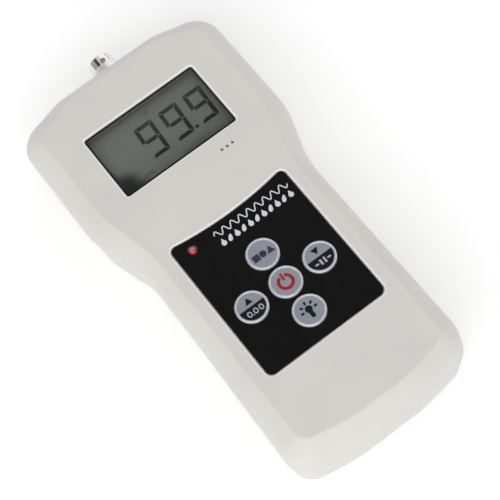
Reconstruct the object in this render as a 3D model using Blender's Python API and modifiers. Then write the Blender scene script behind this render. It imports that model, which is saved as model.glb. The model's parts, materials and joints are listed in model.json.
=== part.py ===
"""Hand-held moisture meter: two-part case, display, keypad, battery bay and probe socket.

Frame: +Z is out of the face, +Y is towards the probe socket, +X is to the right.
The origin is on the flat back, at the middle of the case. Lengths are in millimetres
in the constants, and MM turns them into metres.
"""
import math

import bmesh
import bpy
from mathutils import Matrix, Vector

MM = 0.001
GAP = 0.3            # clearance between pieces that touch

# ---- case ------------------------------------------------------------------
FACE_Z = 30.0        # height of the flat face over the back
SPLIT_Z = 15.0       # parting line between the two covers
EDGE_Z = 21.0        # widest edge of the case
BACK_EDGE_Z = 3.4    # where the rear cover starts to round into its back
WALL = 2.2

# Half outlines from the middle of the foot end to the middle of the socket end.
# Each corner is (x, y, radius); the first and last points lie on the centre plane.
FACE_LINE = [(0, -75.5, 0), (12, -75.5, 60), (28.1, -71.8, 4), (28.1, 9.4, 35),
             (33.75, 32.4, 38), (33.75, 71.3, 5), (17, 76.5, 20), (0, 76.5, 0)]
EDGE_LINE = [(0, -80.3, 0), (14, -80.3, 60), (34.9, -76.6, 10.5), (34.1, 8.6, 37),
             (40.8, 29.2, 37.5), (40.7, 78, 10.5), (20.7, 83.2, 20), (0, 83.2, 0)]
SPLIT_LINE = [(0, -80.9, 0), (14, -80.9, 60), (35.2, -77.6, 9.3), (33.1, 8.6, 37),
              (39.8, 29.2, 37.5), (39.7, 77.2, 9), (20.7, 82.4, 20), (0, 82.4, 0)]
BACK_LINE = [(0, -79.8, 0), (14, -79.8, 60), (33.7, -76.6, 8.3), (31.8, 8.9, 36),
             (38.5, 29.5, 36.5), (38.4, 76.2, 8), (20.3, 81.3, 20), (0, 81.3, 0)]
REST_LINE = [(0, -76.5, 0), (13.5, -76.5, 60), (30.5, -73.8, 6), (28.6, 9.3, 35),
             (35.3, 29.9, 36.5), (35.2, 73.2, 5.5), (19.2, 78, 20), (0, 78, 0)]
CORNER_STEPS = [0, 3, 6, 4, 4, 6, 3, 0]

# ---- keypad ----------------------------------------------------------------
KEYPAD_HALF_W = 23.4
KEYPAD_FOOT_Y = -48.8
KEYPAD_CORNER_Y = 7.93
KEYPAD_ARC_SAG = 2.1
KEYPAD_CORNER_R = 2.4
KEYPAD_TOP_R = 1.9
KEYPAD_RECESS = 0.8
OVERLAY_THICK = 0.4
KEY_Y = -25.9
KEY_PITCH_X = 13.8
KEY_PITCH_Y = 12.73
KEY_R = 5.75
KEY_GAP = 0.25       # clearance round each key, smaller than GAP to leave a web between holes
KEY_TOP_Z = 30.45
KEYS = {"function_button": (0, KEY_Y + KEY_PITCH_Y),
        "power_button": (0, KEY_Y),
        "light_button": (0, KEY_Y - KEY_PITCH_Y),
        "up_zero_button": (-KEY_PITCH_X, KEY_Y),
        "down_hold_button": (KEY_PITCH_X, KEY_Y)}
LED_AT = (-17.15, 2.7)
LED_R = 1.3

# ---- display ---------------------------------------------------------------
WINDOW_W = 45.7
WINDOW_H = 27.4
WINDOW_Y = 46.4
WINDOW_R = 1.0
LENS_FLANGE_Z = (27.0, 27.5)
LENS_TOP_Z = 29.6
DISPLAY_TOP_Z = 26.7
TRIM_Z = (27.8, 29.7)
TRIM_WALL = 0.25

# ---- board, bottom side at BOARD_Z -------------------------------------------
BOARD_Z = 19.4
BOARD_T = 1.6
BOARD_TOP = BOARD_Z + BOARD_T
BOARD_SCREWS = [(-24.8, 26.0), (24.8, 26.0), (-21.0, -46.0), (21.0, -46.0)]
BEEPER_AT = (14.35, 24.9)
BEEPER_HOLES_Y = 26.55
BEEPER_HOLES_X = (12.15, 14.35, 16.5)
BEEPER_HOLE_R = 0.54

# ---- case screws, from the back ------------------------------------------------
CASE_SCREWS = [(-30.3, 66.0), (30.3, 66.0), (-27.0, -66.0), (27.0, -66.0)]
POST_R = 3.8
LEDGE_Z = 9.5
POST_TOP_Z = 12.0
BOSS_R = 2.7

# ---- battery bay: four AAA cells side by side ------------------------------------
CELL_R = 5.25
CELL_LEN = 44.5
CELL_Z = 8.3
CELL_PITCH = 10.8
BAY_HALF_W = 22.9
BAY_MID_Y = -45.0
BAY_LEN = 54.4
BAY_WALL = 1.2
BAY_LOW_Z = 2.8
BAY_TOP_Z = 15.1
DOOR_HALF_W = 22.0
DOOR_END_Y = -16.0
DOOR_T = 2.1
DOOR_HEADROOM = 0.4   # the opening is cut a little deeper than the cover's floor

# ---- probe socket (BNC jack), on the parting line --------------------------------
SOCKET_X = 1.5
SOCKET_Z = 15.0
SOCKET_TIP_Y = 91.2
SOCKET_FLANGE_Y = 83.4
SOCKET_REAR_Y = 70.0
SOCKET_BARREL_R = 4.8
SOCKET_THREAD_R = 4.6
SOCKET_HOLE_R = 4.95
WASHER_Y = 78.9      # outer face of the lock washer, against the inside of the wall
WASHER_T = 0.6
NUT_T = 2.6


# ---- scene, materials and placing ------------------------------------------------
def clear_scene():
    for item in list(bpy.data.objects):
        bpy.data.objects.remove(item, do_unlink=True)


def new_collection(name):
    group = bpy.data.collections.new(name)
    bpy.context.scene.collection.children.link(group)
    return group


def material(name, colour, roughness, metallic=0.0):
    found = bpy.data.materials.get(name)
    if found:
        return found
    made = bpy.data.materials.new(name)
    made.use_nodes = True
    shader = made.node_tree.nodes["Principled BSDF"]
    shader.inputs["Base Color"].default_value = (*colour, 1.0)
    shader.inputs["Roughness"].default_value = roughness
    shader.inputs["Metallic"].default_value = metallic
    return made


def case_plastic():
    return material("case_plastic", (0.62, 0.61, 0.59), 0.45)


def door_plastic():
    return material("door_plastic", (0.60, 0.59, 0.57), 0.5)


def black_film():
    return material("black_film", (0.01, 0.01, 0.011), 0.35)


def key_plastic():
    return material("key_plastic", (0.40, 0.43, 0.47), 0.4)


def clear_plastic():
    return material("clear_plastic", (0.75, 0.78, 0.76), 0.05)


def display_glass():
    return material("display_glass", (0.10, 0.11, 0.095), 0.15)


def black_plastic():
    return material("black_plastic", (0.02, 0.02, 0.02), 0.5)


def white_plastic():
    return material("white_plastic", (0.85, 0.85, 0.83), 0.4)


def grey_rubber():
    return material("grey_rubber", (0.25, 0.25, 0.26), 0.8)


def red_lens():
    return material("red_lens", (0.5, 0.03, 0.04), 0.15)


def board_resin():
    return material("board_resin", (0.02, 0.16, 0.06), 0.4)


def nickel():
    return material("nickel", (0.62, 0.60, 0.56), 0.22, 1.0)


def gold_plate():
    return material("gold_plate", (0.85, 0.62, 0.28), 0.25, 1.0)


def zinc_steel():
    return material("zinc_steel", (0.55, 0.56, 0.58), 0.3, 1.0)


def cell_sleeve():
    return material("cell_sleeve", (0.05, 0.12, 0.08), 0.3)


def red_sleeve():
    return material("red_sleeve", (0.45, 0.02, 0.02), 0.5)


def black_sleeve():
    return material("black_sleeve", (0.02, 0.02, 0.02), 0.5)


class Shop:
    """Where pieces and cutters are kept."""
    parts = None
    cutters = None


def add_object(name, mesh, finish=None):
    """Links a mesh as a piece, or as a cutter where it has no finish."""
    item = bpy.data.objects.new(name, mesh)
    if finish:
        mesh.materials.append(finish)
        Shop.parts.objects.link(item)
    else:
        Shop.cutters.objects.link(item)
        item.hide_render = True
        item.display_type = "WIRE"
    return item


def mesh_of(name, bm):
    mesh = bpy.data.meshes.new(name)
    bm.to_mesh(mesh)
    bm.free()
    return mesh


def smooth(mesh, angle=35):
    mesh.shade_smooth()
    mesh.set_sharp_from_angle(angle=math.radians(angle))


# ---- outlines ----------------------------------------------------------------------
def fillet(before, corner, after, radius, steps):
    """Points of the arc that rounds one corner of an outline."""
    here = Vector(corner)
    to_before = (Vector(before) - here).normalized()
    to_after = (Vector(after) - here).normalized()
    opening = to_before.angle(to_after)
    if radius <= 0 or steps <= 0 or opening > math.radians(179.9):
        return [tuple(here)]
    reach = radius / math.tan(opening / 2)
    centre = here + (to_before + to_after).normalized() * (radius / math.sin(opening / 2))
    start = here + to_before * reach - centre
    turn = start.angle_signed(here + to_after * reach - centre)
    points = []
    for step in range(steps + 1):
        angle = -turn * step / steps
        points.append(tuple(centre + Matrix.Rotation(angle, 2) @ start))
    return points


def rounded(corners, steps=4):
    """Closed outline through (x, y, radius) corners."""
    points = []
    count = len(corners)
    for index, (x, y, radius) in enumerate(corners):
        before = corners[index - 1][:2]
        after = corners[(index + 1) % count][:2]
        points += fillet(before, (x, y), after, radius, steps)
    return points


def rounded_box(width, height, radius, x=0.0, y=0.0, steps=4):
    left, right = x - width / 2, x + width / 2
    low, high = y - height / 2, y + height / 2
    return rounded([(left, low, radius), (right, low, radius),
                    (right, high, radius), (left, high, radius)], steps)


def case_ring(line):
    """Full outline, anticlockwise, from a half outline with corner radii."""
    half = [line[0][:2]]
    for index in range(1, len(line) - 1):
        x, y, radius = line[index]
        half += fillet(line[index - 1][:2], (x, y), line[index + 1][:2], radius, CORNER_STEPS[index])
    half.append(line[-1][:2])
    other = [(-x, y) for x, y in reversed(half[1:-1])]
    return half + other


def between(line_a, line_b, share):
    mixed = []
    for corner_a, corner_b in zip(line_a, line_b):
        mixed.append(tuple(a + (b - a) * share for a, b in zip(corner_a, corner_b)))
    return mixed


def front_levels():
    """Outlines of the front cover from the parting line up to the face."""
    levels = [(SPLIT_LINE, SPLIT_Z), (between(SPLIT_LINE, EDGE_LINE, 0.7), 18.5)]
    start, control, end = (1.0, EDGE_Z), (0.86, 25.2), (0.10, 29.72)
    for step in range(6):
        t = step / 5
        share = (1 - t) ** 2 * start[0] + 2 * t * (1 - t) * control[0] + t * t * end[0]
        height = (1 - t) ** 2 * start[1] + 2 * t * (1 - t) * control[1] + t * t * end[1]
        levels.append((between(FACE_LINE, EDGE_LINE, share), height))
    levels.append((between(FACE_LINE, EDGE_LINE, 0.03), 29.95))
    levels.append((between(FACE_LINE, EDGE_LINE, -0.03), FACE_Z))
    return levels


def rear_levels():
    """Outlines of the rear cover from the back up to the parting line."""
    levels = []
    for step in range(5):
        angle = math.radians(90) * step / 4
        share = 1 - math.cos(angle)
        levels.append((between(BACK_LINE, REST_LINE, 1 - math.sin(angle)), BACK_EDGE_Z * share))
    levels.append((SPLIT_LINE, SPLIT_Z - GAP))
    return levels


def inset(line, depth):
    """The same half outline, moved inwards by a wall thickness."""
    middle = len(line) // 2
    moved = []
    for index, (x, y, radius) in enumerate(line):
        on_side = 2 <= index <= 5
        foot = index <= 2
        rise = depth if foot else -depth if index > middle else 0
        moved.append((x - depth if on_side else x, y + rise, max(radius - depth, 0) if radius else 0))
    return moved


def front_hollow():
    """Outlines of the space under the front cover, up to the back of the face."""
    levels = [(inset(SPLIT_LINE, WALL), SPLIT_Z - 1), (inset(SPLIT_LINE, WALL), SPLIT_Z)]
    for share, height in ((1.0, 19.5), (0.93, 23.0), (0.72, 25.8), (0.36, FACE_Z - WALL)):
        levels.append((inset(between(FACE_LINE, EDGE_LINE, share), WALL), height))
    return levels


def rear_hollow():
    """Outlines of the space in the rear cover, from its floor up."""
    return [(inset(between(BACK_LINE, REST_LINE, 0.4), WALL), WALL),
            (inset(BACK_LINE, WALL), WALL + 2),
            (inset(SPLIT_LINE, WALL), SPLIT_Z - GAP),
            (inset(SPLIT_LINE, WALL), SPLIT_Z + 1)]


def loft(levels):
    """Block through outlines that rise in Z, with its faces pointing out."""
    bm = bmesh.new()
    rings = []
    for line, height in levels:
        rings.append([bm.verts.new((x * MM, y * MM, height * MM)) for x, y in case_ring(line)])
    for low, high in zip(rings, rings[1:]):
        for index in range(len(low)):
            after = (index + 1) % len(low)
            bm.faces.new((low[index], low[after], high[after], high[index]))
    bm.faces.new(reversed(rings[0]))
    bm.faces.new(rings[-1])
    return bm


# ---- solids --------------------------------------------------------------------------
def box_mesh(name, low, high):
    bm = bmesh.new()
    size = [(b - a) * MM for a, b in zip(low, high)]
    middle = [(b + a) / 2 * MM for a, b in zip(low, high)]
    bmesh.ops.create_cube(bm, size=1.0, matrix=Matrix.Translation(middle) @ Matrix.Diagonal((*size, 1)))
    return mesh_of(name, bm)


def plate_mesh(name, outline, low_z, high_z):
    """Flat plate from a 2D curve, made into one welded mesh."""
    curve = bpy.data.curves.new(name + "_outline", "CURVE")
    curve.dimensions = "2D"
    curve.fill_mode = "BOTH"
    curve.extrude = (high_z - low_z) / 2 * MM
    spline = curve.splines.new("POLY")
    spline.points.add(len(outline) - 1)
    for point, (x, y) in zip(spline.points, outline):
        point.co = (x * MM, y * MM, 0, 1)
    spline.use_cyclic_u = True
    holder = bpy.data.objects.new(name + "_outline", curve)
    Shop.cutters.objects.link(holder)
    bpy.context.view_layer.update()
    evaluated = holder.evaluated_get(bpy.context.evaluated_depsgraph_get())
    raw = bpy.data.meshes.new_from_object(evaluated)
    bpy.data.objects.remove(holder, do_unlink=True)
    bm = bmesh.new()
    bm.from_mesh(raw)
    bmesh.ops.remove_doubles(bm, verts=bm.verts, dist=1e-6)
    bmesh.ops.recalc_face_normals(bm, faces=bm.faces)
    bmesh.ops.translate(bm, verts=bm.verts, vec=(0, 0, (low_z + high_z) / 2 * MM))
    return mesh_of(name, bm)


def rods_mesh(name, places, radius, low_z, high_z, sides=20):
    """One upright cylinder at each place."""
    bm = bmesh.new()
    for x, y in places:
        middle = Vector((x, y, (low_z + high_z) / 2)) * MM
        bmesh.ops.create_cone(bm, cap_ends=True, segments=sides, radius1=radius * MM,
                              radius2=radius * MM, depth=(high_z - low_z) * MM,
                              matrix=Matrix.Translation(middle))
    return mesh_of(name, bm)


def cross_rod_mesh(name, centre, direction, radius, length, sides=24):
    """Cylinder along any direction."""
    bm = bmesh.new()
    turn = Vector((0, 0, 1)).rotation_difference(Vector(direction)).to_matrix().to_4x4()
    place = Matrix.Translation(Vector(centre) * MM) @ turn
    bmesh.ops.create_cone(bm, cap_ends=True, segments=sides, radius1=radius * MM,
                          radius2=radius * MM, depth=length * MM, matrix=place)
    return mesh_of(name, bm)


def boolean(target, tool_mesh, operation):
    tool = add_object(tool_mesh.name, tool_mesh)
    step = target.modifiers.new(tool_mesh.name, "BOOLEAN")
    step.operation = operation
    step.solver = "EXACT"
    step.object = tool
    return tool


def cut(target, *meshes):
    for mesh in meshes:
        boolean(target, mesh, "DIFFERENCE")


def join(target, *meshes):
    for mesh in meshes:
        boolean(target, mesh, "UNION")


def turned(name, profile, finish, centre=(0, 0, 0), steps=24, lying=False):
    """Solid of revolution about its own Z; lying turns that axis to +Y."""
    bm = bmesh.new()
    verts = [bm.verts.new((radius * MM, 0, height * MM)) for radius, height in profile]
    closed = profile[0][0] > 0
    pairs = list(zip(verts, verts[1:]))
    if closed:
        pairs.append((verts[-1], verts[0]))
    for start, end in pairs:
        bm.edges.new((start, end))
    item = add_object(name, mesh_of(name, bm), finish)
    item.location = Vector(centre) * MM
    if lying:
        item.rotation_euler = (-math.pi / 2, 0, 0)
    spin = item.modifiers.new("turn", "SCREW")
    spin.axis = "Z"
    spin.steps = steps
    spin.render_steps = steps
    spin.use_merge_vertices = True
    spin.merge_threshold = 0.00001
    spin.use_smooth_shade = True
    return item


def wire(name, points, radius, finish):
    """Wire or coil along points in millimetres."""
    curve = bpy.data.curves.new(name, "CURVE")
    curve.dimensions = "3D"
    curve.bevel_depth = radius * MM
    curve.bevel_resolution = 2
    curve.use_fill_caps = True
    curve.materials.append(finish)
    spline = curve.splines.new("POLY")
    spline.points.add(len(points) - 1)
    for point, place in zip(spline.points, points):
        point.co = (*(Vector(place) * MM), 1)
    item = bpy.data.objects.new(name, curve)
    Shop.parts.objects.link(item)
    return item


def eased(points, per_span=4):
    """Catmull-Rom curve through hand-placed route points."""
    route = [Vector(p) for p in points]
    route = [2 * route[0] - route[1]] + route + [2 * route[-1] - route[-2]]
    out = []
    for a, b, c, d in zip(route, route[1:], route[2:], route[3:]):
        for step in range(per_span):
            t = step / per_span
            out.append(0.5 * (2 * b + (c - a) * t + (2 * a - 5 * b + 4 * c - d) * t * t
                              + (3 * b - a - 3 * c + d) * t ** 3))
    out.append(route[-2])
    return out


# ---- covers ----------------------------------------------------------------------------
def keypad_outline(grow=0.0):
    """Keypad plate outline: square foot, hollow arc along its upper edge."""
    half = KEYPAD_HALF_W + grow
    radius = (KEYPAD_HALF_W ** 2 + KEYPAD_ARC_SAG ** 2) / (2 * KEYPAD_ARC_SAG)
    corners = [(-half, KEYPAD_FOOT_Y - grow, KEYPAD_CORNER_R),
               (half, KEYPAD_FOOT_Y - grow, KEYPAD_CORNER_R),
               (half, KEYPAD_CORNER_Y + grow, KEYPAD_TOP_R)]
    for x in (18, 12, 6, 0, -6, -12, -18):
        rise = radius - math.sqrt(radius ** 2 - x * x)
        corners.append((x, KEYPAD_CORNER_Y - KEYPAD_ARC_SAG + rise + grow, 0))
    corners.append((-half, KEYPAD_CORNER_Y + grow, KEYPAD_TOP_R))
    return rounded(corners)


def socket_hole(name):
    return cross_rod_mesh(name, (SOCKET_X, 78, SOCKET_Z), (0, 1, 0), SOCKET_HOLE_R, 24)


def shell_of(name, outer, inner, finish):
    """Cover made as a full block with its hollow cut out."""
    cover = add_object(name, mesh_of(name, loft(outer)), finish)
    smooth(cover.data, 25)
    cut(cover, mesh_of(name + "_hollow", loft(inner)))
    return cover


def front_cover():
    cover = shell_of("front_cover", front_levels(), front_hollow(), case_plastic())
    under = FACE_Z - WALL
    join(cover,
         rods_mesh("boss_rods", CASE_SCREWS, BOSS_R, POST_TOP_Z + GAP, under + 0.5),
         rods_mesh("board_boss_rods", BOARD_SCREWS, 2.5, BOARD_TOP + GAP, under + 0.5, 16))
    cut(cover,
        rods_mesh("boss_bores", CASE_SCREWS, 1.6, POST_TOP_Z - 1, 22.5, 12),
        rods_mesh("board_boss_bores", BOARD_SCREWS, 1.25, BOARD_TOP - 1, 25.5, 10),
        plate_mesh("window_cut", rounded_box(WINDOW_W, WINDOW_H, WINDOW_R, 0, WINDOW_Y), 20, 35),
        plate_mesh("recess_cut", keypad_outline(GAP), FACE_Z - KEYPAD_RECESS, 35),
        rods_mesh("key_holes", KEYS.values(), KEY_R + KEY_GAP, 20, 29.9, 32),
        rods_mesh("led_hole", [LED_AT], LED_R + GAP, 20, 29.9, 16),
        rods_mesh("beeper_holes", [(x, BEEPER_HOLES_Y) for x in BEEPER_HOLES_X],
                  BEEPER_HOLE_R, 20, 35, 12),
        socket_hole("front_socket_cut"))


def door_block(name, grow):
    """The stretch of the back that the battery door fills."""
    half = DOOR_HALF_W + grow
    top = DOOR_T + (DOOR_HEADROOM if grow else 0)
    return box_mesh(name, (-half, -90, -5), (half, DOOR_END_Y + grow, top))


def rear_cover():
    cover = shell_of("rear_cover", rear_levels(), rear_hollow(), case_plastic())
    join(cover, rods_mesh("post_rods", CASE_SCREWS, POST_R, 1.6, POST_TOP_Z))
    cut(cover,
        rods_mesh("post_counterbores", CASE_SCREWS, 3.05, -2, LEDGE_Z),
        rods_mesh("post_bores", CASE_SCREWS, 1.6, LEDGE_Z - 1, POST_TOP_Z + 2, 12),
        door_block("door_opening", GAP),
        socket_hole("rear_socket_cut"))


def battery_door():
    door = add_object("battery_door", mesh_of("battery_door", loft(rear_levels())),
                      door_plastic())
    boolean(door, door_block("door_region", 0), "INTERSECT")
    bm = bmesh.new()
    for index in range(5):
        middle = Vector((0, -66 + index * 2.4, 0)) * MM
        size = Matrix.Diagonal((16 * MM, 1.1 * MM, 1.0 * MM, 1))
        bmesh.ops.create_cube(bm, size=1.0, matrix=Matrix.Translation(middle) @ size)
    cut(door, mesh_of("door_grip_grooves", bm))


# ---- keypad ---------------------------------------------------------------------------
def keypad_overlay():
    top = FACE_Z - 0.15
    sheet = add_object("keypad_overlay",
                       plate_mesh("keypad_overlay", keypad_outline(), top - OVERLAY_THICK, top),
                       black_film())
    cut(sheet,
        rods_mesh("overlay_key_holes", KEYS.values(), KEY_R + KEY_GAP, 28, 32, 32),
        rods_mesh("overlay_led_hole", [LED_AT], LED_R + GAP, 28, 32, 16))


def key_profile():
    """Cap with a softly rounded rim and a slightly domed top, and a stem under it."""
    top, rim = KEY_TOP_Z, KEY_R
    return [(0, top + 0.15), (rim * 0.5, top + 0.1), (rim - 0.9, top), (rim - 0.25, top - 0.15),
            (rim, top - 0.5), (rim, 26.5), (2.0, 26.5), (2.0, 25.6), (0, 25.6)]


def key_buttons():
    for name, (x, y) in KEYS.items():
        profile = [(radius, height - KEY_TOP_Z) for radius, height in key_profile()]
        cap = turned(name, profile, key_plastic(), (x, y, KEY_TOP_Z), 32)
        bm = bmesh.new()
        place = Matrix.Translation(Vector((x, y, 27.0)) * MM) @ Matrix.Rotation(math.pi / 4, 4, "Z")
        size = Matrix.Diagonal((14.6 * MM, 3.0 * MM, 1.0 * MM, 1))
        bmesh.ops.create_cube(bm, size=1.0, matrix=place @ size)
        join(cap, mesh_of(name + "_ears", bm))


def tactile_switches():
    for name, (x, y) in KEYS.items():
        label = name.replace("_button", "_switch")
        low = BOARD_TOP + GAP
        base = add_object(label, box_mesh(label, (x - 3, y - 3, low), (x + 3, y + 3, 24.2)),
                          black_plastic())
        join(base, rods_mesh(label + "_plunger", [(x, y)], 1.7, 23.8, 25.0, 12))


def status_led():
    top = 30.55
    profile = [(0, 0)]
    for step in range(1, 5):
        angle = math.radians(90) * step / 4
        profile.append((LED_R * math.sin(angle), LED_R * (math.cos(angle) - 1)))
    profile += [(LED_R, -4.6), (1.9, -4.6), (1.9, -5.4), (0, -5.4)]
    led = turned("status_led", profile, red_lens(), (*LED_AT, top), 16)
    for side in (-0.7, 0.7):
        x, y = LED_AT[0] + side, LED_AT[1]
        join(led, box_mesh("led_leg", (x - 0.25, y - 0.25, BOARD_TOP + GAP), (x + 0.25, y + 0.25, 25.6)))


# ---- display -----------------------------------------------------------------------------
def window_outline(inset_by):
    """Window opening, made smaller all round."""
    return rounded_box(WINDOW_W - 2 * inset_by, WINDOW_H - 2 * inset_by, max(WINDOW_R - inset_by, 0.4),
                       0, WINDOW_Y)


def display():
    lens = add_object("lcd_lens",
                      plate_mesh("lcd_lens", rounded_box(50.4, 31.6, 1, 0, WINDOW_Y), *LENS_FLANGE_Z),
                      clear_plastic())
    inside = window_outline(GAP + TRIM_WALL)
    join(lens, plate_mesh("lens_raised", window_outline(GAP + TRIM_WALL + 0.2),
                          LENS_FLANGE_Z[0] + 0.2, LENS_TOP_Z))
    trim = add_object("window_trim", plate_mesh("window_trim", window_outline(GAP), *TRIM_Z),
                      black_plastic())
    cut(trim, plate_mesh("trim_opening", inside, 20, 35))
    glass = rounded_box(47.0, 28.2, 0.3, 0, WINDOW_Y, 1)
    add_object("lcd_glass", plate_mesh("lcd_glass", glass, 23.9, DISPLAY_TOP_Z), display_glass())
    low = BOARD_TOP + GAP
    bezel = add_object("lcd_bezel",
                       plate_mesh("lcd_bezel", rounded_box(51.0, 32.2, 1, 0, WINDOW_Y), low, DISPLAY_TOP_Z),
                       black_plastic())
    opening = rounded_box(47.6, 28.8, 0.4, 0, WINDOW_Y, 2)
    cut(bezel, plate_mesh("bezel_opening", opening, 18, 30))
    add_object("backlight_panel",
               box_mesh("backlight_panel", (-23.4, WINDOW_Y - 11.6, low), (23.4, WINDOW_Y + 11.6, 23.6)),
               white_plastic())
    for name, y in (("zebra_strip_lower", WINDOW_Y - 13.0), ("zebra_strip_upper", WINDOW_Y + 13.0)):
        add_object(name, box_mesh(name, (-22.5, y - 0.95, low), (22.5, y + 0.95, 23.6)), grey_rubber())


# ---- board and what is on it -----------------------------------------------------------------
def main_board():
    board = add_object("main_board", box_mesh("main_board", (-24.6, -50, BOARD_Z), (24.6, 24, BOARD_TOP)),
                       board_resin())
    join(board, box_mesh("board_head", (-28, 21, BOARD_Z), (28, 62, BOARD_TOP)))
    cut(board, rods_mesh("board_holes", BOARD_SCREWS, 1.3, 15, 25, 12))


def board_pieces():
    under = BOARD_Z - GAP
    add_object("microcontroller", box_mesh("microcontroller", (-6, 8, under - 1.4), (6, 20, under)),
               black_plastic())
    add_object("quartz_crystal", box_mesh("quartz_crystal", (9, 11, under - 2.5), (19, 15.5, under)),
               zinc_steel())
    add_object("rf_shield_can", box_mesh("rf_shield_can", (-20, 40, under - 4), (-2, 56, under)),
               zinc_steel())
    add_object("battery_socket", box_mesh("battery_socket", (-4, -7, under - 4.5), (4, -1, under)),
               white_plastic())
    profile = [(0, 4.2), (0.9, 4.2), (0.9, 5.3), (4.2, 5.3), (4.5, 5.0), (4.5, 0), (0, 0)]
    turned("beeper", profile, black_plastic(), (*BEEPER_AT, BOARD_TOP + GAP), 24)


# ---- fasteners ---------------------------------------------------------------------------------
def screws():
    for index, (x, y) in enumerate(CASE_SCREWS):
        profile = [(0, 11.6), (1.0, 11.0), (1.2, 10.4), (1.2, 0), (2.6, 0), (2.6, -1.2),
                   (1.8, -2.0), (0, -2.2)]
        turned("case_screw_%d" % (index + 1), profile, zinc_steel(), (x, y, LEDGE_Z - GAP), 12)
    for index, (x, y) in enumerate(BOARD_SCREWS):
        profile = [(0, 5.6), (0.9, 5.2), (0.9, 0), (1.9, 0), (1.9, -0.8), (1.2, -1.2), (0, -1.3)]
        turned("board_screw_%d" % (index + 1), profile, zinc_steel(), (x, y, BOARD_Z - GAP), 12)


# ---- battery bay ---------------------------------------------------------------------------------
def battery_holder():
    low_y, high_y = BAY_MID_Y - BAY_LEN / 2, BAY_MID_Y + BAY_LEN / 2
    tray = add_object("battery_holder",
                      box_mesh("battery_holder", (-BAY_HALF_W, low_y, BAY_LOW_Z),
                               (BAY_HALF_W, high_y, BAY_TOP_Z)),
                      black_plastic())
    cut(tray, box_mesh("bay_hollow", (BAY_WALL - BAY_HALF_W, low_y + BAY_WALL, 0),
                       (BAY_HALF_W - BAY_WALL, high_y - BAY_WALL, BAY_TOP_Z - BAY_WALL)))


def cells_and_contacts():
    """Cells lie head to tail, each between a flat contact and a coil spring."""
    reach = BAY_LEN / 2 - BAY_WALL
    plate_t = 0.5
    nub_at = reach - plate_t - 2 * GAP
    for index in range(4):
        x = (index - 1.5) * CELL_PITCH
        way = 1 if index % 2 == 0 else -1
        number = index + 1
        profile = [(0, 0), (2.2, 0), (2.6, -0.8), (4.9, -0.8), (CELL_R, -1.2),
                   (CELL_R, 0.4 - CELL_LEN), (4.8, -CELL_LEN), (0, -CELL_LEN)]
        cell = turned("battery_cell_%d" % number, profile, cell_sleeve(),
                      (x, BAY_MID_Y + way * nub_at, CELL_Z), 16, True)
        if way < 0:
            cell.rotation_euler = (math.pi / 2, 0, 0)
        near = BAY_MID_Y + way * (reach - GAP - plate_t)
        far = BAY_MID_Y + way * (reach - GAP)
        label = "contact_plate_%d" % number
        add_object(label, box_mesh(label, (x - 4, min(near, far), CELL_Z - 4),
                                   (x + 4, max(near, far), CELL_Z + 4)), nickel())
        start = BAY_MID_Y + way * (nub_at - CELL_LEN - 2 * GAP)
        end = BAY_MID_Y - way * (reach - 2 * GAP)
        coil = []
        for step in range(31):
            t = step / 30
            angle = math.tau * 3 * t
            radius = 2.0 + 1.6 * t
            coil.append((x + radius * math.cos(angle), start + (end - start) * t,
                         CELL_Z + radius * math.sin(angle)))
        wire("battery_spring_%d" % number, coil, 0.25, nickel())


# ---- probe socket and leads --------------------------------------------------------------------------
def probe_socket():
    """BNC jack: body with flange and bayonet lugs, insulator, centre contact, washer, nut."""
    tip = SOCKET_TIP_Y - SOCKET_FLANGE_Y
    rear = SOCKET_REAR_Y - SOCKET_FLANGE_Y
    barrel, thread = SOCKET_BARREL_R, SOCKET_THREAD_R
    mouth, floor, bore = 4.05, 1.2, 2.7
    base = (SOCKET_X, SOCKET_FLANGE_Y, SOCKET_Z)
    profile = [(mouth, tip), (barrel - 0.3, tip), (barrel, tip - 0.4), (barrel, 3.2), (5.7, 3.2),
               (6.0, 2.9), (6.0, 1.5), (6.3, 1.2), (6.3, 0), (thread, 0), (thread, rear),
               (bore, rear), (bore, floor), (mouth, floor)]
    body = turned("bnc_body", profile, nickel(), base, 32, True)
    for angle in (math.radians(86), math.radians(266)):
        out = Vector((math.cos(angle), 0, math.sin(angle)))
        centre = Vector((SOCKET_X, SOCKET_TIP_Y - 3.4, SOCKET_Z)) + out * 4.95
        join(body, cross_rod_mesh("bayonet_lug", centre, out, 1.0, 1.2, 12))
    turned("bnc_insulator", [(1.3, tip - 1.6), (2.4, tip - 1.6), (2.4, rear), (1.3, rear)],
           white_plastic(), base, 20, True)
    turned("bnc_contact", [(0, tip - 5), (0.5, tip - 5), (0.5, tip - 2.2), (1.0, tip - 2.2),
                           (1.0, rear - 1.6), (0, rear - 1.6)], gold_plate(), base, 12, True)
    wall_in = WASHER_Y - SOCKET_FLANGE_Y
    turned("bnc_washer", [(SOCKET_HOLE_R, wall_in), (6.8, wall_in), (6.8, wall_in - WASHER_T),
                          (SOCKET_HOLE_R, wall_in - WASHER_T)], nickel(), base, 24, True)
    bm = bmesh.new()
    nut_y = WASHER_Y - WASHER_T - GAP - NUT_T / 2
    place = Matrix.Translation(Vector((SOCKET_X, nut_y, SOCKET_Z)) * MM)
    bmesh.ops.create_cone(bm, cap_ends=True, segments=6, radius1=7.3 * MM, radius2=7.3 * MM,
                          depth=NUT_T * MM, matrix=place @ Matrix.Rotation(math.pi / 2, 4, "X"))
    nut = add_object("bnc_nut", mesh_of("bnc_nut", bm), nickel())
    cut(nut, cross_rod_mesh("nut_bore", (SOCKET_X, nut_y, SOCKET_Z), (0, 1, 0), SOCKET_THREAD_R + GAP, 6))


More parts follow.
